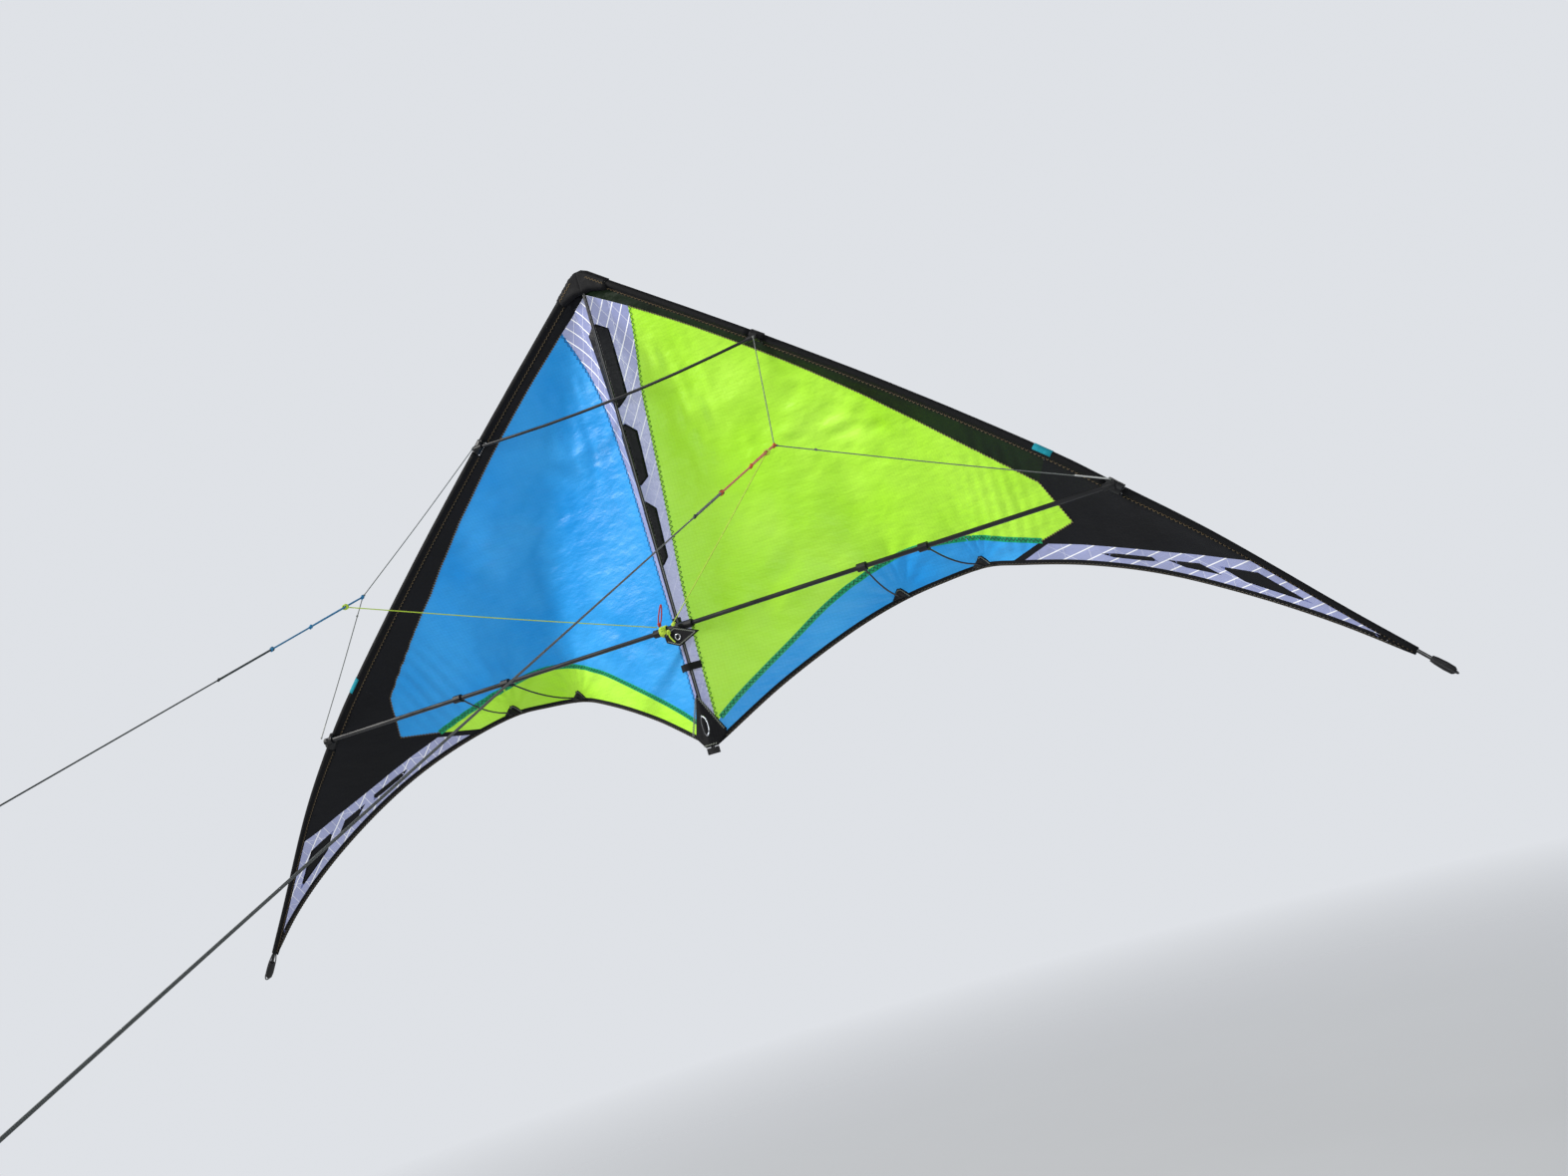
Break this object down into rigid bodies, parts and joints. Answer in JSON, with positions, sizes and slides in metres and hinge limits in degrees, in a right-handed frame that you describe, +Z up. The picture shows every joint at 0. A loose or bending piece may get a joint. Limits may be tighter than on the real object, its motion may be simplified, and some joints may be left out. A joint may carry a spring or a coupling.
{
  "type": "delta sport kite",
  "caption": "Two-line delta sport kite with carbon frame, colour-swapped ripstop half sails, clear laminate tips, stand-off whiskers, bridle and taut flying lines.",
  "frame": {"origin": "on the spine axis at the height of the lower spreaders, where the centre T grips the spine", "axes": "+X to the right wing tip seen from the bridle side, +Y back through the sail, +Z up the spine to the nose"},
  "size_m": [2.0858, 2.2873, 0.924],
  "materials": {
    "carbon_rod": "pultruded carbon tube, satin with a fine lengthwise grain",
    "ferrule_aluminium": "drawn tube, satin",
    "moulded_black": "moulded rubbery plastic, matt",
    "webbing_black": "woven polyester tape, zigzag stitched",
    "sail_blue": "coated ripstop, fine grid, slight sheen",
    "sail_lime": "coated ripstop, fine grid, slight sheen",
    "sail_black": "coated ripstop, fine grid, slight sheen",
    "sail_laminate": "clear laminated film with a white thread grid",
    "teal_tape": "woven tape",
    "cord_lime": "braided cord",
    "cord_red": "braided cord",
    "cord_grey": "thin braided cord",
    "cord_blue": "braided cord",
    "cord_orange": "braided cord",
    "cord_dark": "braided high-modulus line",
    "bungee_black": "braided sheath over rubber"
  },
  "bodies": {
    "frame": {"spine_rod": "carbon_rod", "nose_webbing": "webbing_black", "centre_t": "moulded_black", "inhaul_hitch": "cord_lime", "pull_loop": "cord_red", "spine_strap": "webbing_black", "tail_webbing": "webbing_black", "tail_cap": "moulded_black", "upper_spreader": "carbon_rod", "lower_spreader_left": "carbon_rod", "standoff_clamp_inner_left": "moulded_black", "whisker_inner_left": "carbon_rod", "standoff_clamp_outer_left": "moulded_black", "whisker_outer_left": "carbon_rod", "lower_spreader_right": "carbon_rod", "standoff_clamp_inner_right": "moulded_black", "whisker_inner_right": "carbon_rod", "standoff_clamp_outer_right": "moulded_black", "whisker_outer_right": "carbon_rod"},
    "wing_left": {"leading_spar_upper_left": "carbon_rod", "leading_spar_lower_left": "carbon_rod", "leading_ferrule_left": "ferrule_aluminium", "sleeve_upper_left": "webbing_black", "sleeve_middle_left": "webbing_black", "sleeve_lower_left": "webbing_black", "upper_connector_left": "moulded_black", "lower_connector_left": "moulded_black", "sleeve_tab_left": "teal_tape", "tip_bungee_left": "bungee_black", "half_sail_left": "sail_blue", "sail_fitting_inner_left": "moulded_black", "sail_fitting_outer_left": "moulded_black", "bridle_upper_leg_left": "cord_grey", "bridle_outhaul_left": "cord_grey", "bridle_inhaul_left": "cord_lime"},
    "wing_right": {"leading_spar_upper_right": "carbon_rod", "leading_spar_lower_right": "carbon_rod", "leading_ferrule_right": "ferrule_aluminium", "sleeve_upper_right": "webbing_black", "sleeve_middle_right": "webbing_black", "sleeve_lower_right": "webbing_black", "upper_connector_right": "moulded_black", "lower_connector_right": "moulded_black", "sleeve_tab_right": "teal_tape", "tip_bungee_right": "bungee_black", "half_sail_right": "sail_lime", "sail_fitting_inner_right": "moulded_black", "sail_fitting_outer_right": "moulded_black", "bridle_upper_leg_right": "cord_grey", "bridle_outhaul_right": "cord_grey", "bridle_inhaul_right": "cord_lime"},
    "line_left": {"pigtail_left": "cord_blue", "flying_line_left": "cord_dark", "line_loop_left": "cord_dark"},
    "line_right": {"pigtail_right": "cord_orange", "flying_line_right": "cord_dark", "line_loop_right": "cord_dark"},
    "nock_left": {"tip_nock_left": "moulded_black"},
    "nock_right": {"tip_nock_right": "moulded_black"}
  },
  "joints": [
    {"name": "wing_left_fold", "type": "hinge", "parent": "frame", "child": "wing_left", "pos_m": [0, 0.005, 0], "axis": [0, 0, -1], "range_deg": [0, 45]},
    {"name": "line_left_swing", "type": "hinge", "parent": "wing_left", "child": "line_left", "pos_m": [-0.357, -0.251, 0.169], "axis": [1, 0, 0], "range_deg": [-30, 30]},
    {"name": "nock_left_pull", "type": "slide", "parent": "wing_left", "child": "nock_left", "axis": [-0.6711, 0.1612, -0.7236], "range_m": [0, 0.01], "stiffness_N_per_m": 300, "deforming": ["tip_bungee_left"]},
    {"name": "wing_right_fold", "type": "hinge", "parent": "frame", "child": "wing_right", "pos_m": [0, 0.005, 0], "axis": [0, 0, 1], "range_deg": [0, 45]},
    {"name": "line_right_swing", "type": "hinge", "parent": "wing_right", "child": "line_right", "pos_m": [0.357, -0.251, 0.169], "axis": [1, 0, 0], "range_deg": [-30, 30]},
    {"name": "nock_right_pull", "type": "slide", "parent": "wing_right", "child": "nock_right", "axis": [0.6711, 0.1612, -0.7236], "range_m": [0, 0.01], "stiffness_N_per_m": 300, "deforming": ["tip_bungee_right"]}
  ]
}
